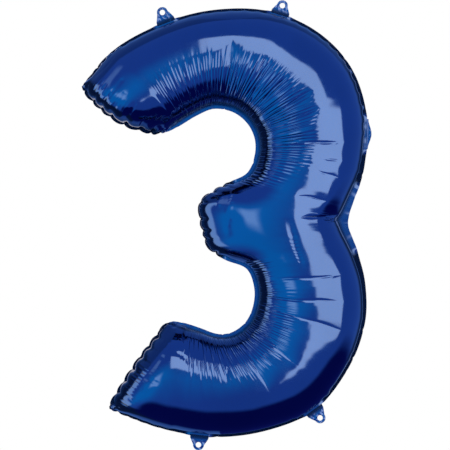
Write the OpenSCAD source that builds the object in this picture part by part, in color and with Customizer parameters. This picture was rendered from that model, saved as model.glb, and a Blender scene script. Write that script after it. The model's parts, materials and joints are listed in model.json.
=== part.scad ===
// Foil number balloon: a digit 3 made of two metallised films welded round the edge.
// X is to the right, Z is up and the front faces -Y. The weld lies in the plane y = 0.
// The origin is the centre of the bounding box.

/* [Balloon] */
// Height over the hanging tabs
balloon_h = 864; // [700:1:1000]
// Depth of the inflated body at its fattest
body_depth = 160; // [120:1:200]
// Distance from the weld at which the body would reach its full depth
crest_reach = 75; // [65:1:100]

/* [Film] */
// Thickness of one ply of film
film_t = 0.5; // [0.4:0.05:0.8]
// Width of the welded flange
flange_w = 9.5; // [7:0.5:12]
// Extra flange width over the broad stretch round the waist
waist_spread = 7; // [0:0.5:9]
// Depth of the sharp notch that the weld makes at the waist
waist_notch = 7; // [0:0.5:9]

/* [Hanging tabs] */
// Diameter of the punched holes
hole_d = 10.5; // [8:0.5:12]
// Radius of the film left round each hole
tab_r = 10.5; // [9:0.5:13]
// Width of a tab where it leaves the flange
tab_base_w = 38; // [30:1:44]
// Distance from the flange's edge to the fold line of a tab
tab_gap = 1; // [0.8:0.1:1.5]

/* [Neck and valve] */
// Width of the filling neck
neck_w = 58; // [44:1:64]
// How far the neck's lips stand out past the flange
neck_out = 6.5; // [4:0.5:10]
// Thickness of one ply of the valve sleeve
valve_t = 0.25; // [0.2:0.05:0.3]
// Width of the valve sleeve
valve_w = 34; // [24:1:40]
// Length of the valve sleeve, from the flange's edge inwards
valve_len = 120; // [80:1:150]

/* [Hidden] */

k = balloon_h / 864;
blue = [0.05, 0.2, 0.5];
silver = [0.78, 0.8, 0.83];
clear = [0.8, 0.86, 0.9, 0.6];

// Ribs across the stroke of the digit, from its upper end to its lower end:
// [x and z on the outer cut edge, x and z on the inner cut edge]. The inner edge
// runs under the upper bowl, round the middle arm and over the lower bowl.
RIBS = [
    [-280, 264, -128, 172], [-217, 336, -92, 188], [-128, 386, -57, 209],
    [-30, 414, -24, 223], [78, 414, 7, 220], [172, 377, 30, 208],
    [241, 308, 48, 188], [273, 215, 58, 161], [269, 112, 56, 130],
    [248, 47, 40, 98], [241, 27, -6, 77], [238, 14, -47, 49],
    [237, 8, -51, 22], [237, 1, -45, -12], [239, -9, -33, -44],
    [245, -24, 0, -67], [257, -56, 41, -84], [271, -115, 56, -120],
    [270, -190, 54, -156], [240, -273, 40, -186], [176, -355, 14, -206],
    [83, -396, -16, -209], [-20, -409, -48, -198], [-125, -392, -80, -188],
    [-229, -354, -112, -184]];
last_u = len(RIBS) - 1;
waist_z = 8;

// How far each end of the stroke bulges past the straight line between its corners
upper_bulge = 20;
lower_bulge = 5;

// Places along the stroke, counted in ribs. Each end gets closer and closer rows.
end_rows = 7;
rows_per_rib = 4;
US = concat(
    [for (i = [0:end_rows]) pow(i / end_rows, 2)],
    [for (i = [1:(last_u - 2) * rows_per_rib]) 1 + i / rows_per_rib],
    [for (i = [end_rows - 1:-1:0]) last_u - pow(i / end_rows, 2)]);
N = len(US);
// Divisions across the stroke
M = 16;

// Smooth curve through the ribs, as a whole rib at any place u
function rib(u) =
    let (
        i = min(floor(u), last_u - 1),
        t = u - i,
        b = RIBS[i],
        c = RIBS[i + 1],
        a = i > 0 ? RIBS[i - 1] : 2 * b - c,
        d = i + 2 <= last_u ? RIBS[i + 2] : 2 * c - b
    )
    k / 2 * (2 * b + (c - a) * t + (2 * a - 5 * b + 4 * c - d) * t * t
        + (3 * b - a - 3 * c + d) * t * t * t);

// Point on the outer (side = 0) or inner (side = 1) cut edge
function edge(u, side) = let (r = rib(u)) side == 0 ? [r[0], r[1]] : [r[2], r[3]];

function unit(v) = v / norm(v);
function turn(v) = [-v[1], v[0]];
// Direction out of the film at a place on the cut edge
function outward(u, side) =
    let (
        step = 0.01,
        v = edge(min(u + step, last_u), side) - edge(max(u - step, 0), side)
    )
    (side == 0 ? 1 : -1) * turn(unit(v));

// The weld starts a little way in from the corners of each end
function shift(u, a) = u < 1 ? a * pow(1 - u, 2) : 0;
function inset_u(u, side) =
    let (a = side == 0 ? 0.1 : 0.25)
    u + shift(u, a) - shift(last_u - u, a);

// Width of the flange: even all round, wider at the waist, with a sharp notch there
function flange(u, side) =
    side == 1 ? flange_w :
    let (z = abs(edge(u, 0)[1] / k - waist_z))
    flange_w + waist_spread * exp(-pow(z / 85, 2)) + waist_notch * exp(-z / 8);

function weld(u, side, extra = 0) =
    let (w = inset_u(u, side))
    edge(w, side) - outward(w, side) * (flange(w, side) + extra);

// Outward bulge of the two ends, dying away along the first and last rib
function end_bulge(u, v) =
    u < 1 ? upper_bulge * pow(1 - u, 2) * sin(180 * v) * unit([-0.52, -0.85]) :
    u > last_u - 1 ? lower_bulge * pow(u - last_u + 1, 2) * sin(180 * v) * unit([-0.83, 0.56]) :
    [0, 0];

// Places across the stroke, closest together at the welds
VS = [for (j = [0:M]) (1 - cos(180 * j / M)) / 2];

function across(a, b, u) = [for (v = VS) a + (b - a) * v + end_bulge(u, v)];
outer_net = [for (u = US) across(weld(u, 0), weld(u, 1), u)];
inner_net = [for (u = US) across(weld(u, 0, film_t), weld(u, 1, film_t), u)];

// Steps round the border of a net, as [row, column]
BORDER = concat(
    [for (i = [0:N - 1]) [i, 0]], [for (j = [1:M - 1]) [N - 1, j]],
    [for (i = [N - 1:-1:0]) [i, M]], [for (j = [M - 1:-1:1]) [0, j]]);
L = len(BORDER);

function cut_edge(s) =
    let (i = BORDER[s][0], j = BORDER[s][1], u = US[i])
    i == 0 || i == N - 1 ? edge(u, 0) + (edge(u, 1) - edge(u, 0)) * VS[j] + end_bulge(u, VS[j]) :
    edge(inset_u(u, j == 0 ? 0 : 1), j == 0 ? 0 : 1);
edge_loop = [for (s = [0:L - 1]) cut_edge(s)];
weld_loop = [for (s = BORDER) outer_net[s[0]][s[1]]];

// Smooth distance from a point to the whole weld. Near the weld it is the plain distance,
// and between two welds it blends them, so the crown of the body has no ridge.
function seen(p, a, b) =
    let (
        along = unit(b - a),
        s0 = (a - p) * along,
        s1 = (b - p) * along,
        r2 = max(pow(norm(a - p), 2) - s0 * s0, 0.001)
    )
    (s1 / sqrt(r2 + s1 * s1) - s0 / sqrt(r2 + s0 * s0)) / r2;
function sum(v, i = 0, total = 0) = i == len(v) ? total : sum(v, i + 1, total + v[i]);
function reach(p) = sqrt(2 / sum([for (s = [0:L - 1]) seen(p, weld_loop[s], weld_loop[(s + 1) % L])]));
function crown(d) = (body_depth / 2 - film_t) * sqrt(1 - pow(1 - min(d / (k * crest_reach), 1), 2));

function on_border(i, j) = i == 0 || i == N - 1 || j == 0 || j == M;
heights = [for (i = [0:N - 1]) [for (j = [0:M]) on_border(i, j) ? 0 : crown(reach(outer_net[i][j]))]];

// The filling neck: the two films stand apart there by the valve between them
neck_u = 7.38;
neck_z = edge(neck_u, 0)[1];
function pocket(i, j) = j == 0 && i < N / 2 && abs(weld(US[i], 0)[1] - neck_z) < 45 * k ? valve_t : 0;

function lift(p, y) = [p[0], y, p[1]];
function flat(net) = [for (row = net) each row];

SKIN = flat([for (i = [0:N - 1]) [for (j = [0:M])
    lift(outer_net[i][j], -pocket(i, j) - film_t - heights[i][j])]]);
LINING = flat([for (i = [0:N - 1]) [for (j = [0:M])
    lift(inner_net[i][j], -pocket(i, j) - heights[i][j])]]);
RIM_FRONT = [for (s = [0:L - 1]) lift(edge_loop[s], -pocket(BORDER[s][0], BORDER[s][1]) - film_t)];
RIM_BACK = [for (s = [0:L - 1]) lift(edge_loop[s], -pocket(BORDER[s][0], BORDER[s][1]))];

// Two triangles between the corners a, b, c, d
function quad(a, b, c, d) = [[a, b, c], [a, c, d]];
function net_at(i, j) = i * (M + 1) + j;
SKIN_FACES = flat([for (i = [0:N - 2]) for (j = [0:M - 1])
    quad(net_at(i, j), net_at(i, j + 1), net_at(i + 1, j + 1), net_at(i + 1, j))]);
function flipped(faces, first) = [for (f = faces) [f[2] + first, f[1] + first, f[0] + first]];

lining_at = N * (M + 1);
front_at = 2 * lining_at;
back_at = front_at + L;
function border_at(s) = net_at(BORDER[s % L][0], BORDER[s % L][1]);
FLANGE_FACES = flat([for (s = [0:L - 1]) concat(
    quad(front_at + s, border_at(s), border_at(s + 1), front_at + (s + 1) % L),
    quad(lining_at + border_at(s), back_at + s, back_at + (s + 1) % L, lining_at + border_at(s + 1)),
    quad(back_at + s, front_at + s, front_at + (s + 1) % L, back_at + (s + 1) % L))]);

// One half of the body with its flange, as a thin shell
module shell() {
    polyhedron(
        points = concat(SKIN, LINING, RIM_FRONT, RIM_BACK),
        faces = concat(SKIN_FACES, flipped(SKIN_FACES, lining_at), FLANGE_FACES));
}

// Flat film in the plane of the weld, from y = y0 to y = y0 + t, drawn with z as its second axis
module sheet(y0, t) {
    translate([0, y0 + t, 0]) rotate([90, 0, 0]) linear_extrude(t) children();
}

// Stands its children on the outer cut edge: x runs along the edge and z points outwards
module on_edge(u) {
    p = edge(u, 0);
    n = outward(u, 0);
    translate([p[0], 0, p[1]]) rotate([0, atan2(n[0], n[1]), 0]) children();
}

// Hanging tab: place along the stroke, and how far out its hole is
TABS = [[2.15, 18.5], [4.28, 15.5], [22.28, 16], [20.04, 17]];

module tab(which) {
    u = TABS[which][0];
    out = TABS[which][1];
    outline = concat(
        [[-tab_base_w / 2, tab_gap], [tab_base_w / 2, tab_gap]],
        [for (a = [0:10:180]) [tab_r * cos(a), out + tab_r * sin(a)]]);
    color(blue) on_edge(u) sheet(-film_t, 2 * film_t) difference() {
        polygon(outline);
        translate([0, out]) circle(d = hole_d, $fn = 48);
    }
}

// One lip of the neck: a low rounded bump past the flange
module lip(y0) {
    base = 0.4;
    outline = concat(
        [[neck_w / 2, base], [-neck_w / 2, base]],
        [for (a = [-170:10:170]) [neck_w / 2 * a / 180, base + neck_out * (1 + cos(a)) / 2]]);
    on_edge(neck_u) sheet(y0, film_t) polygon(outline);
}

// One ply of the valve sleeve: a strip with a rounded inner end
module sleeve(y0) {
    on_edge(neck_u) sheet(y0, valve_t) union() {
        translate([-valve_w / 2, -valve_len]) square([valve_w, valve_len]);
        translate([0, -valve_len]) circle(d = valve_w, $fn = 64);
    }
}

module front_panel() { color(blue) shell(); }
module back_panel() { color(blue) mirror([0, 1, 0]) shell(); }
module tab_upper_left() { tab(0); }
module tab_upper_right() { tab(1); }
module tab_lower_left() { tab(2); }
module tab_lower_right() { tab(3); }
module neck_front_flap() { color(silver) lip(-valve_t - film_t); }
module neck_back_flap() { color(silver) lip(valve_t); }
module valve_front_film() { color(clear) sleeve(-valve_t); }
module valve_back_film() { color(clear) sleeve(0); }

front_panel();
back_panel();
tab_upper_left();
tab_upper_right();
tab_lower_left();
tab_lower_right();
neck_front_flap();
neck_back_flap();
valve_front_film();
valve_back_film();
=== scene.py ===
"""Looks of the foil number balloon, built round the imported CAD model."""

import json
import math

import bmesh
import bpy
import numpy as np
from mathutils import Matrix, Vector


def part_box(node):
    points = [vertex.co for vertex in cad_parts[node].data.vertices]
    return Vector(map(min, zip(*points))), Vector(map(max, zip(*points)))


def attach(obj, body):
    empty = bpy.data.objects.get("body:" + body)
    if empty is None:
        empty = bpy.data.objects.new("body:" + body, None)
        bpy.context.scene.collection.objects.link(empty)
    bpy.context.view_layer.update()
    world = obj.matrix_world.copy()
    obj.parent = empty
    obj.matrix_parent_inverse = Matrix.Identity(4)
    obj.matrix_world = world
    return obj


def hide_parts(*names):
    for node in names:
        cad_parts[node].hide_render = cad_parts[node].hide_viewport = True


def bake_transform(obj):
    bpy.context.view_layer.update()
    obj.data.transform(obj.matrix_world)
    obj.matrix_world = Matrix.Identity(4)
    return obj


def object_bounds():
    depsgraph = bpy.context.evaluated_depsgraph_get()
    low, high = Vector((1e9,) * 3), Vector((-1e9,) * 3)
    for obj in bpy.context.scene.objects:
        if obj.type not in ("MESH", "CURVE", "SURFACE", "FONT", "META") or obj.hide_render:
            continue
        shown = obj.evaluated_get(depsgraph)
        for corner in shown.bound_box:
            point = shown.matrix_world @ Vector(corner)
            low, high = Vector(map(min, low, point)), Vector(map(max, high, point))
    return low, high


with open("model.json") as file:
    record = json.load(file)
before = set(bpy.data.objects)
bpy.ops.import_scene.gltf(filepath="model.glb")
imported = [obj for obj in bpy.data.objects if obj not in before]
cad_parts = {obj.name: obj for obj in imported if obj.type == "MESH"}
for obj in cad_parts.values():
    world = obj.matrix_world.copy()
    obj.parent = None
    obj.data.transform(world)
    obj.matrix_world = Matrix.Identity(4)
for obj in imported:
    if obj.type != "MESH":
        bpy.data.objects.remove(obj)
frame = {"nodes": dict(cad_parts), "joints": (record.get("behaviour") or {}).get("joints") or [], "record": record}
cad_lo, cad_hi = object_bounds()
MM = 0.001
FRONT, BACK = -1.0, 1.0

# camera
VIEW_H = 0.864 * 450 / 449   # the balloon's height fills all but one row of the frame
LENS, SENSOR = 100.0, 36.0

# light: linear colours, and the directions they come from in degrees; azimuth 0 is towards the
# camera and grows to the right
KEY_LIGHT = (2.35, 2.15, 2.05)
FILL_LIGHT = (1.65, 1.9, 1.95)
LEFT_WALL = (0.03, 0.66, 1.18)
RIGHT_WALL = (0.10, 0.25, 0.72)
FLOOR_DARK = (0.007, 0.012, 0.15)
SIDE_WALL, HIGH_WALL, REAR_WALL = 0.12, 0.55, 0.7   # the wall's light at the sides, above, behind
# boxes of directions: azimuth span, elevation span, width of the soft edge
LEFT_WALL_BOX = ((-60, 2), (-44, 18), 30)
SLANTED_KEY = ((1, 25), (13, 40), 3)
KEY_BOXES = (((8, 50), (-16, 14), 3), ((6, 28), (4, 26), 3))
FILL_LAMPS = (               # box, share of the fill light
    (((-34, -16), (-8, 8), 9), 0.75),
    (((-70, -52), (24, 40), 8), 0.28),
    (((-98, -80), (-42, 24), 6), 0.70),
)
REAR_LAMP, REAR_SHARE = ((162, 190), (-14, 14), 8), 0.4
WALL_LEAN, KEY_LEAN = -0.62, 0.28   # azimuth gained per degree of elevation (the wall's: below 0)

# the film
FILM_T = 0.5 * MM            # thickness of the CAD film
FILM_SHEAR, FILM_BEND = 0.5, 0.12
PUSH_FIRST, PUSH_LAST, ROUNDS = 0.03 * MM, 0.006 * MM, 350
ROUGHNESS = 0.12 * MM        # size of the random start that the wrinkles grow from
SPARE, ARM_SPARE, TIP_SPARE = 0.135, 0.13, 0.25   # extra film: bends, beside the arm, its tip

# the blown-up shape
DOME, DOME_REACH, CREST = 0.079, 0.070, 0.0795   # height, distance from the weld, highest point
ARM_LOW, ARM_LOW_REACH = 0.38, 0.055             # how much lower the body is round the arm's tip
END_REACH = (0.030, 0.052)   # how far in from the upper and lower cut the body reaches full depth
END_ZONE = 0.08              # stretch near a cut end where the film keeps its girth
WAIST_AT = 0.507             # the waist's place along the stroke

# seam, flange and cut ends
LOBE_PITCH, LOBE_WIDTH, NOTCH_WIDTH = (0.015, 0.031), (0.55, 1.0), 0.0068
WELD_LOBE, CUT_LOBE = 8.0 * MM, 1.2 * MM         # how far out a lobe stands at the weld and the cut
WELD_NOTCH, CUT_NOTCH = 5.2 * MM, 4.6 * MM       # how far in from that the notches go
WAVE_LENGTHS, WAVE_HEIGHT = (0.021, 0.034, 0.013), 1.8 * MM
WELD_GAP = 0.25 * MM         # from the weld plane to either film
NECK_CLEAR, TAB_CLEAR = 46 * MM, 32 * MM         # the flange lies flat this near to a neck or tab
RIM_ROWS = 4
CURL_BACK = 7.0 * MM
PAINTED_SHADE_REACH, END_PAINTED_SHADE_REACH = 3.6 * MM, 8.0 * MM         # how far in from the seam the film carries painted shade: darker ink, less metal and gloss
# painted shade on the weld line, on the first flange row and on the curled flange
SEAM_PAINTED_SHADE, FIRST_ROW_PAINTED_SHADE, FLANGE_PAINTED_SHADE = 0.95, 0.45, 0.1
END_RIB = 6.4 * MM           # pitch of the fine gathers at the cut ends
RIB_ROWS = 60                # stations at each end that carry them


# ---------------------------------------------------------------- camera, stage and light

def make_camera():
    data = bpy.data.cameras.new("camera")
    data.lens = LENS
    data.sensor_width = SENSOR
    data.clip_end = 50.0
    camera = bpy.data.objects.new("camera", data)
    bpy.context.scene.collection.objects.link(camera)
    camera.location = (0.0, -VIEW_H * LENS / SENSOR, 0.0)
    camera.rotation_euler = (math.radians(90), 0, 0)
    bpy.context.scene.camera = camera


def make_floor():
    """A plain pale floor a little below the object, which the foil doesn't mirror."""
    mesh = bpy.data.meshes.new("floor")
    side, level = 40.0, cad_lo.z - 0.02
    around = ((-side, -side), (side, -side), (side, side), (-side, side))
    mesh.from_pydata([(x, y, level) for x, y in around], [], [(0, 1, 2, 3)])
    floor = bpy.data.objects.new("floor", mesh)
    bpy.context.scene.collection.objects.link(floor)
    material = bpy.data.materials.new("pale_floor")
    material.use_nodes = True
    n = Nodes(material.node_tree)
    glow = n.add("ShaderNodeEmission", {"Color": (1, 1, 1, 1)})
    n.add("ShaderNodeOutputMaterial", {"Surface": glow.outputs[0]})
    mesh.materials.append(material)
    floor.visible_glossy = False
    floor.visible_diffuse = False
    floor.visible_shadow = False
    floor.visible_transmission = False


class Nodes:
    """A few short calls for building node trees."""

    def __init__(self, tree):
        self.tree = tree
        tree.nodes.clear()

    def add(self, kind, inputs=None, **settings):
        node = self.tree.nodes.new(kind)
        for key, value in settings.items():
            setattr(node, key, value)
        for key, value in (inputs or {}).items():
            self.feed(node, key, value)
        return node

    def feed(self, node, key, value):
        if isinstance(value, bpy.types.NodeSocket):
            self.tree.links.new(value, node.inputs[key])
        else:
            node.inputs[key].default_value = value

    def math(self, operation, *values):
        return self.add("ShaderNodeMath", dict(enumerate(values)), operation=operation).outputs[0]

    def span(self, value, low, high, to_low=0.0, to_high=1.0):
        """Carries low..high over to to_low..to_high with soft ends, and holds outside."""
        node = self.add("ShaderNodeMapRange", {0: value, 1: low, 2: high, 3: to_low, 4: to_high})
        node.interpolation_type = "SMOOTHSTEP"
        return node.outputs[0]

    def mix(self, share, a, b):
        """Colour mix: sockets 6 and 7 of the node are its colour inputs."""
        node = self.add("ShaderNodeMix", {0: share}, data_type="RGBA")
        for key, value in ((6, a), (7, b)):
            is_socket = isinstance(value, bpy.types.NodeSocket)
            self.feed(node, key, value if is_socket else tuple(value[:3]) + (1.0,))
        return node.outputs[2]


def lamp_box(n, azimuth, elevation, az_span, el_span, soft):
    """1 inside a soft-edged rectangle of directions, 0 outside; angles in degrees."""
    inside = []
    for value, (low, high) in ((azimuth, az_span), (elevation, el_span)):
        rise = n.span(value, low - soft / 2, low + soft / 2)
        fall = n.span(value, high - soft / 2, high + soft / 2, 1.0, 0.0)
        inside.append(n.math("MULTIPLY", rise, fall))
    return n.math("MULTIPLY", *inside)


def room_light(n, azimuth, elevation, away):
    """Walls over a dark floor: brightest at the left, dimmer to the sides and lit again behind."""
    leaning = n.math("MULTIPLY_ADD", n.math("MINIMUM", elevation, 0.0), WALL_LEAN, azimuth)
    left = lamp_box(n, leaning, elevation, *LEFT_WALL_BOX)
    ahead = n.math("MULTIPLY", n.span(azimuth, -110.0, -76.0),
                   n.span(azimuth, 112.0, 142.0, 1.0, 0.0))
    share = n.math("MAXIMUM", n.span(ahead, 0.0, 1.0, SIDE_WALL, 1.0),
                   n.span(elevation, 14.0, 34.0, 0.0, HIGH_WALL))
    share = n.math("MAXIMUM", share, n.math("MULTIPLY", n.span(away, 140.0, 156.0), REAR_WALL))
    wall = n.add("ShaderNodeVectorMath", {0: n.mix(left, RIGHT_WALL, LEFT_WALL)}, operation="SCALE")
    n.feed(wall, "Scale", share)
    # the floor's edge is higher to the right and lower to the far left
    horizon = n.math("SUBTRACT", elevation, n.span(azimuth, 10.0, 80.0, 0.0, 26.0))
    horizon = n.math("ADD", horizon, n.span(azimuth, -90.0, -20.0, 12.0, 0.0))
    return n.mix(n.span(horizon, -54.0, -43.0), FLOOR_DARK, wall.outputs[0])


def make_light():
    """A soft studio told by direction: softboxes ahead of the object, a brighter wall on its left,
    a dark floor, and a plain white backdrop for the camera."""
    world = bpy.data.worlds.new("studio")
    bpy.context.scene.world = world
    world.use_nodes = True
    n = Nodes(world.node_tree)
    place = n.add("ShaderNodeTexCoord").outputs["Generated"]
    x, y, z = n.add("ShaderNodeSeparateXYZ", {0: place}).outputs
    to_degrees = 180 / math.pi
    azimuth = n.math("MULTIPLY", n.math("ARCTAN2", x, n.math("MULTIPLY", y, -1.0)), to_degrees)
    elevation = n.math("MULTIPLY", n.math("ARCSINE", z), to_degrees)
    away = n.math("ABSOLUTE", azimuth)
    light = room_light(n, azimuth, elevation, away)
    slanted = n.math("MULTIPLY_ADD", elevation, KEY_LEAN, azimuth)
    key = lamp_box(n, slanted, elevation, *SLANTED_KEY)
    for box in KEY_BOXES:
        key = n.math("MAXIMUM", key, lamp_box(n, azimuth, elevation, *box))
    light = n.mix(key, light, KEY_LIGHT)
    for box, share in FILL_LAMPS:
        fill = lamp_box(n, azimuth, elevation, *box)
        light = n.mix(n.math("MULTIPLY", fill, share), light, FILL_LIGHT)
    rear = lamp_box(n, away, elevation, *REAR_LAMP)
    light = n.mix(n.math("MULTIPLY", rear, REAR_SHARE), light, KEY_LIGHT)
    camera_sees = n.add("ShaderNodeLightPath").outputs["Is Camera Ray"]
    back = n.add("ShaderNodeBackground", {"Color": n.mix(camera_sees, light, (1, 1, 1))})
    n.add("ShaderNodeOutputWorld", {"Surface": back.outputs[0]})
    bpy.context.scene.view_settings.view_transform = "Standard"


make_camera()
make_floor()
make_light()


# ---------------------------------------------------------------- outlines, read from the CAD panel

def read_loops():
    """The cut edge and the weld line of the front panel, in order, as x and z in metres.
    Point s of one loop belongs with point s of the other."""
    mesh = frame["nodes"]["front_panel"].data
    co = np.array([v.co for v in mesh.vertices])
    keys, same = np.unique(np.round(co, 6), axis=0, return_inverse=True)
    same = same.reshape(-1)
    near = [set() for _ in keys]
    for a, b in ((same[e.vertices[0]], same[e.vertices[1]]) for e in mesh.edges):
        near[a].add(b)
        near[b].add(a)
    stacked = {}
    for i, key in enumerate(keys):
        stacked.setdefault((key[0], key[2]), []).append(i)
    # the cut edge: pairs of points one film thickness apart, close to the weld plane
    rim = {min(group, key=lambda i: keys[i][1]) for group in stacked.values()
           if len(group) == 2 and abs(abs(keys[group[0]][1] - keys[group[1]][1]) - FILM_T) < 1e-5
           and min(keys[i][1] for i in group) > -2 * FILM_T}
    rim = {i for i in rim if len(near[i] & rim) >= 2}
    start = min(rim, key=lambda i: keys[i][0])
    order, last = [start], None
    while True:
        ahead = [j for j in near[order[-1]] & rim if j != last]
        if last is None:
            ahead.sort(key=lambda j: -keys[j][2])
        last = order[-1]
        if ahead[0] == start:
            break
        order.append(ahead[0])
    inside = [{j for j in near[i] - rim if keys[j][1] < -0.9 * FILM_T} for i in order]
    weld = [list(inside[s] & inside[s - 1])[0] for s in range(len(order))]
    return keys[order][:, [0, 2]], keys[weld][:, [0, 2]]


cut_loop, weld_loop = read_loops()

# ---------------------------------------------------------------- the film net

CAD_STATIONS, CAD_ACROSS = 103, 16   # how the CAD panel's outline is divided
EASED_ROWS = 7                       # rows near each end that lean over to the end's own curve
STATIONS, ACROSS = 1100, 80          # the net: stations along, cells from outer to inner side


def ease(value, low, high):
    """0 below low, 1 above high, with a soft step between."""
    share = np.clip((value - low) / (high - low), 0, 1)
    return share * share * (3 - 2 * share)


def spline(points, t):
    """Catmull-Rom through the points, at t counted in points."""
    last = len(points) - 1
    i = np.clip(np.floor(t).astype(int), 0, last - 1)
    f = (t - i)[:, None]
    ends = np.vstack([2 * points[0] - points[1], points, 2 * points[-1] - points[-2]])
    a, b, c, d = ends[i], ends[i + 1], ends[i + 2], ends[i + 3]
    return 0.5 * (2 * b + (c - a) * f + (2 * a - 5 * b + 4 * c - d) * f ** 2
                  + (3 * b - a - 3 * c + d) * f ** 3)


def four_sides(loop):
    """Outer side, inner side, upper end and lower end of a loop; ends run from outer to inner."""
    n, m = CAD_STATIONS, CAD_ACROSS
    outer, lower = loop[:n], loop[n - 1:n + m]
    inner = loop[n - 1 + m:2 * n - 1 + m][::-1]
    upper = np.vstack([loop[:1], loop[2 * n - 2 + m:][::-1]])
    return outer, inner, upper, lower


def lengths(line):
    """Running length along a line of points."""
    return np.concatenate([[0], np.cumsum(np.linalg.norm(np.diff(line, axis=0), axis=1))])


def even_stations(loop):
    """Places of the net's stations, evenly spaced along the stroke and counted in CAD stations."""
    outer, inner, _, _ = four_sides(loop)
    along = (lengths(outer) + lengths(inner)) / 2
    return np.interp(np.linspace(0, along[-1], STATIONS), along, np.arange(CAD_STATIONS))


def net(loop, t):
    """Points of the net in the weld plane: [station, across] -> x, z."""
    outer, inner, upper, lower = four_sides(loop)
    out, into = spline(outer, t), spline(inner, t)
    across = np.arange(ACROSS + 1) / ACROSS
    v = (1 - np.cos(math.pi * across)) / 2
    v_cad = (1 - np.cos(math.pi * np.arange(CAD_ACROSS + 1) / CAD_ACROSS)) / 2

    def bow(end):
        """How far an end's own curve departs from the straight line between its corners."""
        straight = end[0] + (end[-1] - end[0]) * v_cad[:, None]
        return spline(end - straight, across * CAD_ACROSS)

    P = out[:, None] + (into - out)[:, None] * v[None, :, None]
    near_upper = np.clip(1 - (t / EASED_ROWS) ** 2, 0, 1) ** 2
    near_lower = np.clip(1 - ((CAD_STATIONS - 1 - t) / EASED_ROWS) ** 2, 0, 1) ** 2
    return (P + near_upper[:, None, None] * bow(upper)[None]
            + near_lower[:, None, None] * bow(lower)[None])


def reach(points, loop, batch=20000):
    """A smooth distance from each point to the loop."""
    seg = np.roll(loop, -1, 0) - loop
    size = np.linalg.norm(seg, axis=1)
    way = seg / size[:, None]
    total = np.zeros(len(points))
    for k in range(0, len(points), batch):
        q = points[k:k + batch]
        ax, az = loop[None, :, 0] - q[:, None, 0], loop[None, :, 1] - q[:, None, 1]
        s0 = ax * way[:, 0] + az * way[:, 1]
        s1 = s0 + size
        off = np.maximum(ax * ax + az * az - s0 * s0, 1e-9)
        part = (s1 / np.sqrt(off + s1 * s1) - s0 / np.sqrt(off + s0 * s0)) / off
        total[k:k + batch] = part.sum(1)
    return np.sqrt(2 / total)


def smooth(values, times, axis):
    """Averages every value with its two neighbours along an axis, a few times; the ends stay."""
    values = np.moveaxis(values, axis, 0).copy()
    for _ in range(times):
        values[1:-1] = (values[:-2] + values[1:-1] + values[2:]) / 3
    return np.moveaxis(values, 0, axis)


def normals(X):
    """Unit vectors that point out of the film at every point of the net."""
    along, across = np.gradient(X, axis=0), np.gradient(X, axis=1)
    out = np.cross(across, along)
    return out / (np.linalg.norm(out, axis=2, keepdims=True) + 1e-12)


# ---------------------------------------------------------------- blowing the film up

def pull(X, W, ia, ib, rest, stiffness):
    """Moves the ends of every spring ia-ib towards its rest length; W is 0 at held points."""
    d = X[ib] - X[ia]
    size = np.sqrt(np.einsum("...i,...i", d, d)) + 1e-9
    wa, wb = W[ia], W[ib]
    step = (stiffness * (1 - rest / size) / (wa + wb + 1e-6))[..., None] * d
    X[ia] += step * wa[..., None]
    X[ib] -= step * wb[..., None]


def spring_sets(rows, cols, along, across, slant_a, slant_b):
    """Springs as (starts, ends, rest lengths, stiffness), in sets whose springs share no point."""
    S, sets = np.s_, []
    for c in (0, 1):
        sets.append((S[c:rows - 1:2], S[c + 1:rows:2], along[c::2], 1.0))
        sets.append((S[:, c:cols - 1:2], S[:, c + 1:cols:2], across[:, c::2], 1.0))
    for c in (0, 1):
        sets.append((S[c:rows - 1:2, :-1], S[c + 1:rows:2, 1:], slant_a[c::2], FILM_SHEAR))
        sets.append((S[c:rows - 1:2, 1:], S[c + 1:rows:2, :-1], slant_b[c::2], FILM_SHEAR))
    two_along, two_across = along[:-1] + along[1:], across[:, :-1] + across[:, 1:]
    for c in range(4):
        i = len(range(c, rows - 2, 4))
        sets.append((S[c:rows - 2:4], S[c + 2:c + 3 + 4 * (i - 1):4], two_along[c::4][:i],
                     FILM_BEND))
        j = len(range(c, cols - 2, 4))
        sets.append((S[:, c:cols - 2:4], S[:, c + 2:c + 3 + 4 * (j - 1):4],
                     two_across[:, c::4][:, :j], FILM_BEND))
    return sets


def blow_up(X, extra, girth_cells, seed, rounds):
    """Blows up a film that doesn't stretch: springs of fixed length, pushed out along the normal.
    extra is the spare length along the stroke; it is what wrinkles on the inside of the bends.
    girth_cells are the least widths of the cells across it."""
    rows, cols, _ = X.shape
    step_a, step_c = np.diff(X, axis=0), np.diff(X, axis=1)
    size_c = np.linalg.norm(step_c, axis=2)
    spare = 1 + (extra[1:] + extra[:-1]) / 2
    along = np.linalg.norm(step_a, axis=2) * spare
    across = np.maximum(size_c, girth_cells)
    A, C = step_a * spare[..., None], step_c * (across / size_c)[..., None]
    slant_a = np.linalg.norm(A[:, :-1] + C[1:], axis=2)
    slant_b = np.linalg.norm(A[:, 1:] - C[1:], axis=2)
    rests = [r.astype(np.float32) for r in (along, across, slant_a, slant_b)]
    W = np.ones((rows, cols), np.float32)
    W[0] = W[-1] = 0
    W[:, 0] = W[:, -1] = 0
    rng = np.random.default_rng(seed)
    rough = smooth(smooth(rng.standard_normal((rows, cols)), 2, 0), 12, 1)
    rough *= ROUGHNESS / rough.std()
    X = (X + normals(X) * (rough * W)[..., None]).astype(np.float32)
    springs = spring_sets(rows, cols, *rests)
    for k in range(rounds):
        push = PUSH_FIRST + (PUSH_LAST - PUSH_FIRST) * k / max(rounds - 1, 1)
        X += (normals(X) * (push * W)[..., None]).astype(np.float32)
        X[..., 1] = np.minimum(X[..., 1], -0.2 * MM)
        for ia, ib, rest, stiffness in springs:
            pull(X, W, ia, ib, rest, stiffness)
    return X.astype(float)


# ---------------------------------------------------------------- the shape of the balloon

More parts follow.
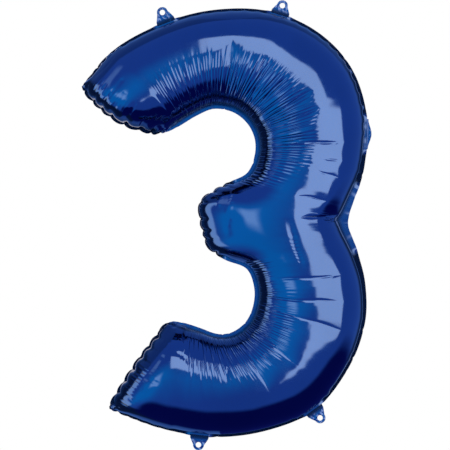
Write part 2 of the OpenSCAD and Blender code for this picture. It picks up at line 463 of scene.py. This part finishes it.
T = even_stations(weld_loop)
WELD_NET = net(weld_loop, T)
CUT_NET = net(cut_loop, T)
Q = np.arange(ACROSS + 1) / ACROSS                        # 0 at the outer side, 1 at the inner side
MIDLINE = lengths(WELD_NET[:, ACROSS // 2])
OUTER_STEP = np.linalg.norm(np.gradient(WELD_NET[:, 0], axis=0), axis=1)
INNER_STEP = np.linalg.norm(np.gradient(WELD_NET[:, -1], axis=0), axis=1)
BEND = np.clip((OUTER_STEP / INNER_STEP - 1.15) / 2, 0, 1)   # 0 straight, 1 sharpest
ARM_TIP = np.clip(1 - OUTER_STEP / INNER_STEP, 0, 1) * ease(T, 40, 44) * (1 - ease(T, 60, 64))
SOFT_TIP = smooth(ARM_TIP, 20, 0)
TIP = ease(SOFT_TIP, 0.15, 0.5)                              # 1 round the arm's tip


def corner_share():
    """How sharply the inner side turns the bowl's way close to the arm, from 0 to 1."""
    inner = WELD_NET[:, -1]
    way = np.gradient(smooth(inner, 6, 0), axis=0)
    heading = np.unwrap(np.arctan2(way[:, 1], way[:, 0]))
    turn = -np.gradient(heading) / (np.linalg.norm(way, axis=1) + 1e-9)
    turn = smooth(turn, 10, 0) * np.sign(np.median(turn[BEND > 0.3]))
    by_arm = ease(T, 34, 40) * (1 - ease(T, 64, 70))
    return np.clip(turn / 9, 0, 1) * by_arm * (1 - BEND)


CORNER = corner_share()


def edge_of(grid):
    """The border of a net as one ring: outer side, lower end, inner side, upper end."""
    return np.concatenate([grid[:-1, 0], grid[-1, :-1], grid[:0:-1, -1], grid[0, :0:-1]])


POINT_IDS = np.arange(STATIONS * (ACROSS + 1)).reshape(STATIONS, ACROSS + 1)
RING_IDS = edge_of(POINT_IDS)


def ring_strength():
    """How much the seam is gathered, round the ring: full at both ends and round the arm's tip."""
    from_upper, from_lower = MIDLINE, MIDLINE[-1] - MIDLINE
    near = np.minimum(from_upper, from_lower)
    turn = 0.75 * (1 - ease(near, 0.0, 0.03)) + 0.25 * (1 - ease(near, 0.03, 0.11))
    whole = np.zeros(POINT_IDS.shape)
    whole[0] = whole[-1] = 1
    whole[:, 0] = turn
    whole[:, -1] = np.maximum(turn, TIP)
    return edge_of(whole)


def scallops(ring, seed):
    """Lobes of uneven width along the ring: 0 at a lobe's crown, 1 in the notch between two."""
    rng = np.random.default_rng(seed)
    run = lengths(ring)
    notch = np.full(len(ring), 9.0)
    place = 0.004
    while place < run[-1] - 0.004:
        wide = rng.uniform(*LOBE_WIDTH)
        notch = np.minimum(notch, np.abs(run - place) / (NOTCH_WIDTH * wide))
        place += rng.uniform(*LOBE_PITCH)
    return np.exp(-notch)


def gathered_edge():
    """Inward move of the weld and of the cut edge at every point of the ring, and the wave of the
    flange to front and back."""
    ring = edge_of(WELD_NET)
    strength = ring_strength()
    notch = scallops(ring, 11)
    run = lengths(ring)
    rng = np.random.default_rng(5)
    wave = np.zeros(len(ring))
    for length in WAVE_LENGTHS:
        wave += np.sin(2 * math.pi * run / length + rng.uniform(0, 6.28)) * length
    wave *= WAVE_HEIGHT / np.abs(wave).max()
    calm = 0.12 + 0.88 * strength
    weld_in = (notch * WELD_NOTCH - WELD_LOBE) * strength
    cut_in = (notch * CUT_NOTCH - CUT_LOBE) * strength
    for _ in range(26):
        nick = rng.uniform(0, run[-1])
        deep, wide = rng.uniform(0.5, 1.7) * MM, rng.uniform(0.0015, 0.004)
        cut_in += deep * np.exp(-np.abs(run - nick) / wide)
    return weld_in, cut_in, wave * calm


def spread_from_ring(values):
    """Puts ring values back on the four borders of a net."""
    grid = np.zeros(POINT_IDS.shape)
    grid.flat[RING_IDS] = values
    return grid


RING_IN, CUT_IN, RING_WAVE = gathered_edge()


def edge_curl():
    """Share by which the flange curls back (+Y) at its cut edge: along the outer side, the ends and
    the arm's tip, fading out at the tabs, the neck and the waist."""
    ring = edge_of(CUT_NET)
    side = np.zeros(POINT_IDS.shape)
    side[:, 0] = side[0] = side[-1] = 1
    side[:, -1] = ease(SOFT_TIP, 0.1, 0.3)
    curl = edge_of(side)
    for joint in frame["joints"]:
        at = np.array(joint["pos_m"])[[0, 2]]
        clear = NECK_CLEAR if "neck" in joint["name"] else TAB_CLEAR
        curl *= ease(np.linalg.norm(ring - at, axis=1), clear * 0.62, clear)
    waist = CUT_NET[int(WAIST_AT * (STATIONS - 1)), 0]
    curl *= ease(np.linalg.norm(ring - waist, axis=1), 0.06, 0.08)
    return smooth(curl, 6, 0)


RING_CURL = edge_curl()


def inward_of(grid):
    """Unit vectors in the weld plane that point from the ring into the film."""
    ring = edge_of(grid)
    way = np.roll(ring, -1, 0) - np.roll(ring, 1, 0)
    way /= np.linalg.norm(way, axis=1, keepdims=True) + 1e-12
    turn = np.stack([way[:, 1], -way[:, 0]], 1)
    middle = edge_of(np.broadcast_to(grid[:, ACROSS // 2][:, None], grid.shape).copy())
    flip = np.sign((turn * (middle - ring)).sum(1, keepdims=True))
    return turn * np.where(flip == 0, 1, flip)


def open_ended():
    """The weld loop with both cut ends carried on along the stroke, so only its sides count."""
    outer, inner, _, _ = four_sides(weld_loop)
    ends = []
    for end, further_in in ((0, 4), (-1, -5)):
        a, b = outer[end], inner[end]
        way = (a + b - outer[further_in] - inner[further_in]) / 2
        way /= np.linalg.norm(way)
        ends.append((a + way * 0.15, b + way * 0.15))
    (upper_a, upper_b), (lower_a, lower_b) = ends
    return np.vstack([[upper_a], outer, [lower_a], [lower_b], inner[::-1], [upper_b]])


def distance_to_line(P, line):
    """Distance of every point of the net to the points of a line, exact enough near it."""
    far = np.full(P.shape[:2], 1.0)
    middle = line[len(line) // 2]
    rows = np.linalg.norm(P[:, ACROSS // 2] - middle, axis=1) < 0.14
    far[rows] = np.linalg.norm(P[rows][:, :, None] - line[None, None], axis=3).min(2)
    return far


def dome(P):
    """Height of the smooth blown-up shape over every point of the net."""
    d = reach(P.reshape(-1, 2), open_ended()).reshape(P.shape[:2])
    tip = P[int(np.argmax(ARM_TIP)), -1]
    low = 1 - ARM_LOW * np.exp(-((P - tip) ** 2).sum(2) / ARM_LOW_REACH ** 2)
    h = DOME * low * np.sqrt(1 - (1 - np.minimum(d / DOME_REACH, 1)) ** 2)
    for row, far in zip((0, -1), END_REACH):
        h *= np.sqrt(1 - (1 - np.minimum(distance_to_line(P, P[row]) / far, 1)) ** 2)
    h[0] = h[-1] = 0
    h[:, 0] = h[:, -1] = 0
    round_share = smooth(0.6 * BEND, 30, 0)[:, None]
    crown = DOME * np.sin(math.pi * Q)[None]
    return h * (1 - round_share) + round_share * np.minimum(crown, h * 1.05)


def spare_length():
    """Extra film along the stroke: on the inner half of the bends, and round the arm's tip."""
    shift = 0.09 * ease(MIDLINE / MIDLINE[-1], 0.55, 0.65)[:, None]
    profile = ease(Q[None] - shift, 0.42, 0.70) * (1 - 0.15 * ease(Q, 0.85, 1.0))[None]
    arm = CORNER[:, None] * (ease(Q, 0.62, 0.84) * (1 - 0.4 * ease(Q, 0.9, 1.0)))[None]
    clear_ends = ease(MIDLINE, 0.055, 0.105) * ease(MIDLINE[-1] - MIDLINE, 0.045, 0.095)
    return (ARM_SPARE * arm + SPARE * (BEND * clear_ends)[:, None] * profile
            + TIP_SPARE * ARM_TIP[:, None] * ease(Q, 0.80, 0.97)[None])


def end_girth(X, P):
    """Cell widths that keep the film as wide near a cut end as further in."""
    girth = np.linalg.norm(np.diff(X, axis=1), axis=2).sum(1)
    rib = np.linalg.norm(P[:, -1] - P[:, 0], axis=1)
    cells = np.zeros((STATIONS, ACROSS))
    for near in (MIDLINE, MIDLINE[-1] - MIDLINE):
        zone = near < END_ZONE
        whole = int(np.argmin(np.abs(near - END_ZONE)))
        narrowing = 1 - 0.35 * np.clip(1 - near / END_ZONE, 0, 1) ** 2
        wide = girth[whole] * rib / rib[whole] * narrowing
        cells[zone] = (wide[zone] / ACROSS)[:, None]
    return cells


def crease(X, N, P, start, end, depth, width, broad=0.8):
    """A sharp valley between two places (share along, share across), fading at both ends. A
    negative depth gives a ridge; broad is the share of the wide valley round the sharp one."""
    a, b = (P[int(u * (STATIONS - 1)), int(round(q * ACROSS))] for u, q in (start, end))
    way = b - a
    size = np.linalg.norm(way)
    way = way / size
    off = P - a
    share = (off @ way) / size
    aside = off @ np.array([way[1], -way[0]]) + 1.2 * MM * np.sin(share * 7 + start[0] * 50)
    fade = ease(share, -0.12, 0.25) * (1 - ease(share, 0.75, 1.12))
    valley = (0.6 * np.exp(-np.abs(aside) / (0.3 * width))
              + broad * np.exp(-(aside / (2.2 * width)) ** 2))
    return X - N * (depth * valley * fade)[..., None]


def puckers():
    """Short creases that run in from the notches of the gathered ends and of the arm's tip."""
    ring, strength = edge_of(WELD_NET), ring_strength()
    notch = scallops(ring, 11)
    peak = (notch > np.roll(notch, 1)) & (notch >= np.roll(notch, -1)) & (strength > 0.5)
    rng = np.random.default_rng(3)
    found = []
    for cell in RING_IDS[peak]:
        row, col = divmod(int(cell), ACROSS + 1)
        u, q = row / (STATIONS - 1), col / ACROSS
        size = rng.uniform(0.012, 0.034) if rng.random() < 0.75 else rng.uniform(0.04, 0.06)
        if row in (0, STATIONS - 1):
            inner = (u + (1 if row == 0 else -1) * size / MIDLINE[-1], q + (0.5 - q) * 0.12)
        else:
            inner = (u, q + (0.5 - q) * size / 0.06 * 0.5)
        found.append(((u, q), inner, rng.uniform(1.4, 2.6) * MM, 2.6 * MM, 0.12))
    return found


def blown_panel(seed, creases):
    """One panel of film, front side towards -Y, as [station, across] -> x, y, z."""
    P = WELD_NET.copy()
    into = inward_of(P)
    move = np.stack([spread_from_ring(RING_IN * into[:, k]) for k in (0, 1)], -1)
    h = dome(P)
    P = P + soften(move)
    X = np.stack([P[..., 0], -h, P[..., 1]], -1)
    X = blow_up(X, spare_length(), end_girth(X, P), seed, ROUNDS)
    tall = -X[..., 1].min()
    X[..., 1] *= min(1.0, CREST / tall)
    N = normals(X)
    for line in creases + puckers():
        X = crease(X, N, P, *line)
    return X


def soften(move):
    """Carries the move of the border a little way into the film."""
    out = move.copy()
    for k in range(1, 14):
        fade = math.exp(-(k / 6.0) ** 2)
        out[1:-1, k] += move[1:-1, 0] * fade
        out[1:-1, -1 - k] += move[1:-1, -1] * fade
    for k in range(1, 24):
        fade = math.exp(-(k / 9.0) ** 2)
        out[k, 1:-1] += move[0, 1:-1] * fade
        out[-1 - k, 1:-1] += move[-1, 1:-1] * fade
    return out


def rounded_corners(ring):
    """Takes the point off the four corners of the cut edge."""
    corner_ids = POINT_IDS[::STATIONS - 1, ::ACROSS].flat
    corners = [ring[int(np.argmax(RING_IDS == k))] for k in corner_ids]
    near = np.min([np.linalg.norm(ring - c, axis=1) for c in corners], axis=0)
    share = (1 - ease(near, 6 * MM, 14 * MM))[:, None]
    for _ in range(60):
        ring = ring + share * 0.5 * ((np.roll(ring, 1, 0) + np.roll(ring, -1, 0)) / 2 - ring)
    return ring


def end_ribs(X):
    """Phase and strength of the fine gathers that run in from both cut ends."""
    phase, strength = np.zeros(X.shape[:2]), np.zeros(X.shape[:2])
    for row, rows in ((0, slice(0, RIB_ROWS)), (-1, slice(STATIONS - RIB_ROWS, STATIONS))):
        line = WELD_NET[row]
        run = lengths(line)
        phase[rows] = (run / END_RIB * 2 * math.pi
                       + 1.5 * np.sin(run / 0.031) + 0.8 * np.sin(run / 0.0123))
        far = np.linalg.norm(WELD_NET[rows][:, :, None] - line[None, None], axis=3).min(2)
        patch = 0.55 + 0.45 * np.sin(run / 0.024 + row)
        strength[rows] = ease(far, 2 * MM, 9 * MM) * (1 - ease(far, 20 * MM, 44 * MM)) * patch
    return phase, strength


def painted_edge_shade(X):
    """Painted shade where the film dives into the seam: darker ink and less gloss, 0.9 on the border, fading
    within millimetres.
    """
    flat = X[..., [0, 2]]
    inner_wide = PAINTED_SHADE_REACH + (END_PAINTED_SHADE_REACH - PAINTED_SHADE_REACH) * TIP[:, None]
    shade = np.zeros(X.shape[:2])
    for border, wide in ((flat[:, :1], PAINTED_SHADE_REACH), (flat[:, -1:], inner_wide),
                         (flat[:1], END_PAINTED_SHADE_REACH), (flat[-1:], END_PAINTED_SHADE_REACH)):
        near = np.linalg.norm(flat - border, axis=2)
        shade = np.maximum(shade, 1 - ease(near, 0.5 * MM, wide))
    return 0.9 * shade


def point_values(piece, label, values):
    """Stores one number per point of the piece, for its material to read."""
    layer = piece.data.attributes.new(label, "FLOAT", "POINT")
    layer.data.foreach_set("value", np.asarray(values, np.float32))


def film_mesh(name, X, side):
    """The panel's mesh: the blown-up net and its flange out to the cut edge."""
    X = X.copy()
    X[..., 1] = np.minimum(X[..., 1], -WELD_GAP)
    if side == BACK:
        X[..., 1] *= -1
    verts = X.reshape(-1, 3)
    count, around = len(verts), len(RING_IDS)
    weld, cut = verts[RING_IDS], rounded_corners(edge_of(CUT_NET))
    cut = cut + inward_of(WELD_NET) * CUT_IN[:, None]
    rims = []
    for share in np.arange(1, RIM_ROWS + 1) / RIM_ROWS:
        flat = weld[:, [0, 2]] * (1 - share) + cut * share
        lift = RING_WAVE * share + RING_CURL * CURL_BACK * share ** 1.3 + WELD_GAP * side
        rims.append(np.stack([flat[:, 0], lift, flat[:, 1]], 1))
    allv = np.vstack([verts] + rims)
    ids = POINT_IDS
    quads = np.stack([ids[:-1, :-1], ids[1:, :-1], ids[1:, 1:], ids[:-1, 1:]], -1)
    loops = [RING_IDS] + [count + k * around + np.arange(around) for k in range(RIM_ROWS)]
    strips = [np.stack([a, b, np.roll(b, -1), np.roll(a, -1)], -1)
              for a, b in zip(loops[:-1], loops[1:])]
    piece = mesh_object(name, allv, np.vstack([quads.reshape(-1, 4)] + strips), side == BACK)
    shade = np.zeros(len(allv))
    shade[:count] = painted_edge_shade(X).reshape(-1)
    # painted shade: a dark line along the weld, much lighter on the inner side
    inner_side = np.zeros(POINT_IDS.shape)
    inner_side[25:-25, -1] = 1
    shade[RING_IDS] = SEAM_PAINTED_SHADE - 0.8 * edge_of(inner_side) * (1 - RING_CURL)
    # painted shade on the flange, darker where it curls back
    for k, loop in enumerate(loops[1:]):
        least = FLANGE_PAINTED_SHADE if k else FIRST_ROW_PAINTED_SHADE
        shade[loop] = np.maximum(SEAM_PAINTED_SHADE * ease(RING_CURL, 0.0, 0.8), least)
    point_values(piece, "painted_seam_shade", shade)
    on_flange = np.zeros(len(allv) - count)
    for label, values in zip(("rib_phase", "rib_strength"), end_ribs(X)):
        point_values(piece, label, np.concatenate([values.reshape(-1), on_flange]))
    on_ring = set(RING_IDS.tolist())
    sharp = [e.vertices[0] in on_ring and e.vertices[1] in on_ring for e in piece.data.edges]
    piece.data.attributes.new("sharp_edge", "BOOLEAN", "EDGE").data.foreach_set("value", sharp)
    return piece


def mesh_object(name, verts, faces, flip=False):
    """A smooth-shaded object from points and four-sided faces; flip turns the faces over."""
    mesh = bpy.data.meshes.new(name)
    faces = np.asarray(faces)
    if flip:
        faces = faces[:, ::-1]
    mesh.from_pydata([tuple(v) for v in np.asarray(verts, float)], [], faces.tolist())
    mesh.polygons.foreach_set("use_smooth", [True] * len(mesh.polygons))
    mesh.update()
    piece = bpy.data.objects.new(name, mesh)
    bpy.context.scene.collection.objects.link(piece)
    return piece


# ---------------------------------------------------------------- materials

def surface(name):
    """A new material, its node calls, its shader and the place that its textures follow."""
    material = bpy.data.materials.new(name)
    material.use_nodes = True
    n = Nodes(material.node_tree)
    shader = n.add("ShaderNodeBsdfPrincipled")
    n.add("ShaderNodeOutputMaterial", {"Surface": shader.outputs[0]})
    place = n.add("ShaderNodeTexCoord").outputs["Object"]
    return material, n, shader, place


def noise(n, place, scale, detail=3.0, rough=0.5):
    return n.add("ShaderNodeTexNoise", {"Vector": place, "Scale": scale, "Detail": detail,
                                        "Roughness": rough}).outputs[0]


def bumps(n, shader, layers):
    """Stacks bump layers given as (height socket, distance in metres)."""
    normal = None
    for height, distance in layers:
        node = n.add("ShaderNodeBump", {"Height": height, "Distance": distance, "Strength": 1.0})
        if normal is not None:
            n.feed(node, "Normal", normal)
        normal = node.outputs[0]
    n.feed(shader, "Normal", normal)


def foil(name, ink_low, ink_high, rough_span, crinkle, crinkle_scale):
    """Metallised film: tinted metal under a clear gloss ply, with faint mottle and crinkle, and painted shade
    along the seam.
    """
    material, n, shader, place = surface(name)
    cloud = noise(n, place, 9.0, 4.0)
    ink = n.mix(n.span(cloud, 0.3, 0.7), ink_low, ink_high)
    # painted shade: where the attribute is high, the ink is darkened and metal, specular and coat are turned down
    seam = n.add("ShaderNodeAttribute", attribute_name="painted_seam_shade").outputs["Fac"]
    n.feed(shader, "Base Color", n.mix(seam, ink, tuple(0.12 * c for c in ink_low)))
    n.feed(shader, "Metallic", n.math("MULTIPLY_ADD", seam, -0.9, 1.0))
    n.feed(shader, "Specular IOR Level", n.math("MULTIPLY_ADD", seam, -0.5, 0.5))
    smear = noise(n, place, 60.0, 5.0, 0.6)
    n.feed(shader, "Roughness", n.span(smear, 0.25, 0.75, rough_span[0], rough_span[1]))
    n.feed(shader, "Coat Weight", n.span(seam, 0.0, 0.5, 1.0, 0.0))
    n.feed(shader, "Coat Roughness", 0.04)
    n.feed(shader, "Coat IOR", 1.5)
    fine = noise(n, place, crinkle_scale, 3.0)
    broad = noise(n, place, crinkle_scale / 5, 2.0)
    phase, strength = (n.add("ShaderNodeAttribute", attribute_name=label).outputs["Fac"]
                       for label in ("rib_phase", "rib_strength"))
    ribs = n.math("MULTIPLY", n.math("SINE", phase), strength)
    bumps(n, shader, ((fine, crinkle), (broad, crinkle * 4), (ribs, 0.14 * MM)))
    return material


def clear_film(name):
    """Thin clear film, a little hazy."""
    material, n, shader, place = surface(name)
    cloud = noise(n, place, 40.0)
    n.feed(shader, "Base Color", n.mix(cloud, (0.78, 0.82, 0.86), (0.88, 0.90, 0.92)))
    n.feed(shader, "Transmission Weight", 0.8)
    n.feed(shader, "IOR", 1.45)
    n.feed(shader, "Roughness", n.span(cloud, 0.2, 0.8, 0.12, 0.28))
    bumps(n, shader, ((noise(n, place, 220.0), 0.04 * MM),))
    return material


# name, darker and lighter ink, span of roughness, height of the crinkle, its scale
BODY_FOIL = foil("blue_body_foil", (0.028, 0.086, 0.25), (0.033, 0.096, 0.275),
                 (0.07, 0.12), 0.012 * MM, 260.0)
TAB_FOIL = foil("blue_tab_foil", (0.026, 0.08, 0.24), (0.036, 0.10, 0.29),
                (0.10, 0.20), 0.05 * MM, 420.0)
LINING = foil("silver_lining", (0.60, 0.61, 0.63), (0.72, 0.73, 0.75),
              (0.14, 0.28), 0.04 * MM, 300.0)
CLEAR = clear_film("clear_valve_film")


# ---------------------------------------------------------------- pieces

def joint_of(child):
    return next(j for j in frame["joints"] if j["child"] == child)


def hinge_frame(child):
    """Hinge point, unit vector along the fold and unit vector away from the balloon, in x and z."""
    joint = joint_of(child)
    at = np.array(joint["pos_m"])[[0, 2]]
    along = np.array(joint["axis"])[[0, 2]]
    along /= np.linalg.norm(along)
    lo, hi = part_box(child if child in frame["nodes"] else child.replace("_lip", "_flap"))
    centre = np.array([(lo.x + hi.x) / 2, (lo.z + hi.z) / 2])
    away = np.array([along[1], -along[0]])
    return at, along, away if (centre - at) @ away > 0 else -away


def outline_points(node):
    """The points of a CAD node in x and z, each once."""
    co = np.array([v.co for v in frame["nodes"][node].data.vertices])
    return np.unique(np.round(co[:, [0, 2]], 6), axis=0)


def sheet_solid(name, flat, lift, thick, closed_ring):
    """A thin closed solid from a grid of x, z points, each with a height; columns can wrap."""
    rows, cols, _ = flat.shape
    skins = [np.stack([flat[..., 0], lift + side * thick / 2, flat[..., 1]], -1).reshape(-1, 3)
             for side in (FRONT, BACK)]
    grid = np.arange(rows * cols).reshape(rows, cols)
    wrap = np.concatenate([grid, grid[:, :1]], 1) if closed_ring else grid
    a, b, c, d = wrap[:-1, :-1], wrap[1:, :-1], wrap[1:, 1:], wrap[:-1, 1:]
    face = np.stack([a, b, c, d], -1).reshape(-1, 4)
    k = rows * cols
    faces = [face, face[:, ::-1] + k]
    borders = [wrap[0], wrap[-1][::-1]]
    if not closed_ring:
        borders += [grid[:, 0][::-1], grid[:, -1]]
    for line in borders:
        faces.append(np.stack([line[:-1], line[1:], line[1:] + k, line[:-1] + k], -1))
    piece = mesh_object(name, np.vstack(skins), np.vstack(faces))
    make_outward(piece)
    return piece


def make_outward(piece):
    """Turns every face of a closed solid outwards."""
    work = bmesh.new()
    work.from_mesh(piece.data)
    bmesh.ops.recalc_face_normals(work, faces=work.faces)
    work.to_mesh(piece.data)
    work.free()


TAB_SIDES, TAB_RINGS = 144, 14
TAB_OVERLAP, TAB_THICK, TAB_CRUMPLE = 4.0 * MM, 0.7 * MM, 0.35 * MM


def hole_centre(node):
    """Middle of the punched hole, from the record's mount."""
    mounts = frame["record"]["mounts"]
    hole = next(m for m in mounts if m["name"].startswith(node))
    return np.array(hole["pos_m"])[[0, 2]]


def make_tab(node, seed):
    """A hanging ear: two plies sealed together, punched, a bit crumpled, rooted on the flange."""
    at, _, away = hinge_frame(node)
    centre = hole_centre(node)
    points = outline_points(node) - centre
    far = np.linalg.norm(points, axis=1)
    rim = points[far > far.min() * 1.25]
    rim = rim[np.argsort(np.arctan2(rim[:, 1], rim[:, 0]))]
    turn = np.arctan2(rim[:, 1], rim[:, 0])
    angle = np.linspace(-math.pi, math.pi, TAB_SIDES, endpoint=False)
    looped = np.concatenate([turn - 2 * math.pi, turn, turn + 2 * math.pi])
    px, pz = (np.interp(angle, looped, np.tile(rim[:, k], 3)) for k in (0, 1))
    outer = centre + np.stack([px, pz], 1)
    at_root = ((outer - at) @ away) < 2.2 * MM
    outer = outer - away * (at_root * TAB_OVERLAP)[:, None]
    inner = centre + far.min() * np.stack([np.cos(angle), np.sin(angle)], 1)
    share = (np.arange(TAB_RINGS + 1) / TAB_RINGS)[:, None, None] ** 1.15
    flat = inner[None] * (1 - share) + outer[None] * share
    rng = np.random.default_rng(seed)
    lift = np.zeros(flat.shape[:2])
    for _ in range(7):
        way = rng.normal(size=2)
        way /= np.linalg.norm(way)
        fold = (flat @ way) / rng.uniform(0.006, 0.016) * 3.1 + rng.uniform(0, 6)
        lift += np.abs(np.sin(fold)) - 0.6
    lift *= TAB_CRUMPLE * ease((flat - at) @ away, 1 * MM, 9 * MM)
    piece = sheet_solid("hanging_" + node, flat, lift, TAB_THICK, True)
    # painted shade: the tab is darkened towards its root on the flange
    painted_root_shade = 0.8 * (1 - ease((flat - at) @ away, -1 * MM, 7 * MM)).reshape(-1)
    point_values(piece, "painted_seam_shade", np.tile(painted_root_shade, 2))
    piece.data.materials.append(TAB_FOIL)
    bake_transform(piece)
    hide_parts(node)
    return piece


LIP_COLUMNS, LIP_ROWS = 60, 12
LIP_OVERLAP, LIP_THICK, LIP_FLARE = 3.0 * MM, 0.35 * MM, 0.9 * MM


def reach_at(places, a, b):
    """How far the points (a along, b away) stand out at each place along; gaps are bridged."""
    top = np.full(len(places), np.nan)
    for i, place in enumerate(places):
        near = np.abs(a - place) < 1.2 * MM
        if near.any():
            top[i] = max(b[near].max(), 0.2 * MM)
    good = ~np.isnan(top)
    return np.interp(places, places[good], top[good])


def make_lip(side_name, side):
    """One ply of the filling neck: blue outside, silver inside, rooted on the flange."""
    node, body = "neck_%s_flap" % side_name, "neck_%s_lip" % side_name
    at, along, away = hinge_frame(body)
    points = outline_points(node) - at
    a, b = points @ along, points @ away
    places = np.linspace(a.min(), a.max(), LIP_COLUMNS + 1)
    top = smooth(reach_at(places, a, b), 2, 0)
    share = np.arange(LIP_ROWS + 1) / LIP_ROWS
    reach_out = -LIP_OVERLAP + (top[None] + LIP_OVERLAP) * share[:, None]
    flat = at + places[None, :, None] * along + reach_out[..., None] * away
    free = ease(reach_out, 0.5 * MM, 6 * MM)
    run = places / (places.max() - places.min())
    flare = LIP_FLARE * free * (0.6 + 0.4 * np.sin(run * 21 + 1.3) + 0.25 * np.sin(run * 47))
    lift = side * (0.5 * MM + flare)
    piece = sheet_solid("neck_lip_" + side_name, flat, lift, LIP_THICK, False)
    piece.data.materials.append(TAB_FOIL)
    piece.data.materials.append(LINING)
    for face in piece.data.polygons:
        face.material_index = 1 if face.normal.y * side < -0.3 else 0
    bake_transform(piece)
    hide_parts(node)
    return piece


def make_valve(side_name, side):
    """One film of the flat valve sleeve inside, rippled where it hangs free."""
    node = "valve_%s_film" % side_name
    lo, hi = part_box(node)
    x = np.linspace(lo.x, hi.x, 90)[:, None]
    z = np.linspace(lo.z, hi.z, 25)[None]
    flat = np.stack(np.broadcast_arrays(x, z), -1)
    inner = ease(hi.x - x, 12 * MM, 60 * MM)
    ripple = inner * (1.6 * MM * np.sin(x / 0.017) + 0.8 * MM * np.sin(x / 0.009 + z / 0.012))
    middle = 1 - ((z - (lo.z + hi.z) / 2) / ((hi.z - lo.z) / 2)) ** 2
    lift = ripple + side * (0.07 * MM + 0.5 * MM * inner * middle)
    piece = sheet_solid("valve_sleeve_" + side_name, flat, lift, 0.1 * MM, False)
    piece.data.materials.append(CLEAR)
    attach(piece, "envelope")
    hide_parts(node)
    return piece


FRONT_CREASES = [
    # start (along, across), end (along, across), depth, half width, share of the broad valley
    ((0.182, 0.42), (0.196, 0.79), 2.6 * MM, 7 * MM),
    ((0.235, 0.50), (0.257, 0.76), 2.6 * MM, 7 * MM),
    ((0.274, 0.52), (0.278, 0.75), 2.6 * MM, 7 * MM),
    ((0.313, 0.46), (0.316, 0.79), 3.0 * MM, 8 * MM),
    ((0.340, 0.46), (0.338, 0.75), 2.4 * MM, 6 * MM),
    ((0.386, 0.34), (0.380, 0.78), 3.0 * MM, 9 * MM),
    ((0.404, 0.49), (0.410, 0.31), 1.2 * MM, 5 * MM),
    ((0.423, 0.49), (0.431, 0.29), 1.2 * MM, 5 * MM),
    ((0.472, 0.46), (0.470, 0.30), 1.6 * MM, 6 * MM),
    ((0.519, 0.36), (0.505, 0.02), 3.5 * MM, 9 * MM),
    ((0.521, 0.42), (0.616, 0.52), 1.8 * MM, 6 * MM, 0.25),
    ((0.632, 0.75), (0.631, 0.31), 2.2 * MM, 8 * MM),
    ((0.665, 0.98), (0.666, 0.34), 2.2 * MM, 8 * MM),
    ((0.683, 0.81), (0.700, 0.32), 2.0 * MM, 8 * MM),
    ((0.735, 0.92), (0.761, 0.48), 2.0 * MM, 8 * MM),
    ((0.781, 0.89), (0.815, 0.45), 1.8 * MM, 8 * MM),
    ((0.834, 0.80), (0.865, 0.54), 1.5 * MM, 6 * MM),
    ((0.968, 0.70), (0.915, 0.62), 2.0 * MM, 2.5 * MM, 0.15),
    # fine folds that run out from the arm's upper corner, and folds at the cut ends
    ((0.498, 0.97), (0.498, 0.81), -2.4 * MM, 9 * MM, 0.25),
    ((0.487, 0.88), (0.512, 0.78), -2.4 * MM, 9 * MM, 0.25),
    ((0.484, 0.80), (0.519, 0.71), -2.8 * MM, 10 * MM, 0.25),
    ((0.519, 0.71), (0.544, 0.74), 2.8 * MM, 10 * MM, 0.25),
    ((0.498, 0.80), (0.488, 0.70), -2.4 * MM, 9 * MM, 0.25),
    ((0.004, 0.76), (0.034, 0.72), 2.2 * MM, 5 * MM, 0.5),
    ((0.016, 0.90), (0.060, 0.78), -2.2 * MM, 5 * MM, 0.5),
    ((0.955, 0.79), (0.932, 0.71), -1.6 * MM, 4 * MM, 0.4),
    ((0.938, 0.84), (0.897, 0.80), -1.8 * MM, 5 * MM, 0.5),
    ((0.001, 0.36), (0.014, 0.36), 2.2 * MM, 3 * MM, 0.15),
    ((0.001, 0.56), (0.011, 0.55), 1.8 * MM, 3 * MM, 0.15),
]


def back_creases():
    """Creases of the unseen back: the same kind, at seeded places round the bends."""
    rng = np.random.default_rng(23)
    found = []
    for along in np.arange(0.17, 0.88, 0.045):
        u = along + rng.uniform(-0.012, 0.012)
        lean = rng.uniform(-0.008, 0.02)
        found.append(((u, rng.uniform(0.36, 0.5)), (u + lean, rng.uniform(0.72, 0.88)),
                      rng.uniform(1.2, 2.4) * MM, rng.uniform(6, 9) * MM))
    found.append(((0.52, 0.36), (0.505, 0.02), 3.0 * MM, 9 * MM))
    return found


def make_film(name, node, side, seed, creases):
    """One film of the body, front or back."""
    piece = film_mesh(name, blown_panel(seed, creases), side)
    piece.data.materials.append(BODY_FOIL)
    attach(piece, "envelope")
    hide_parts(node)
    return piece


make_film("front_film", "front_panel", FRONT, 1, FRONT_CREASES)
make_film("back_film", "back_panel", BACK, 2, back_creases())
for number, tab in enumerate(("upper_left", "upper_right", "lower_left", "lower_right")):
    make_tab("tab_" + tab, 40 + number)
for name, side in (("front", FRONT), ("back", BACK)):
    make_lip(name, side)
    make_valve(name, side)
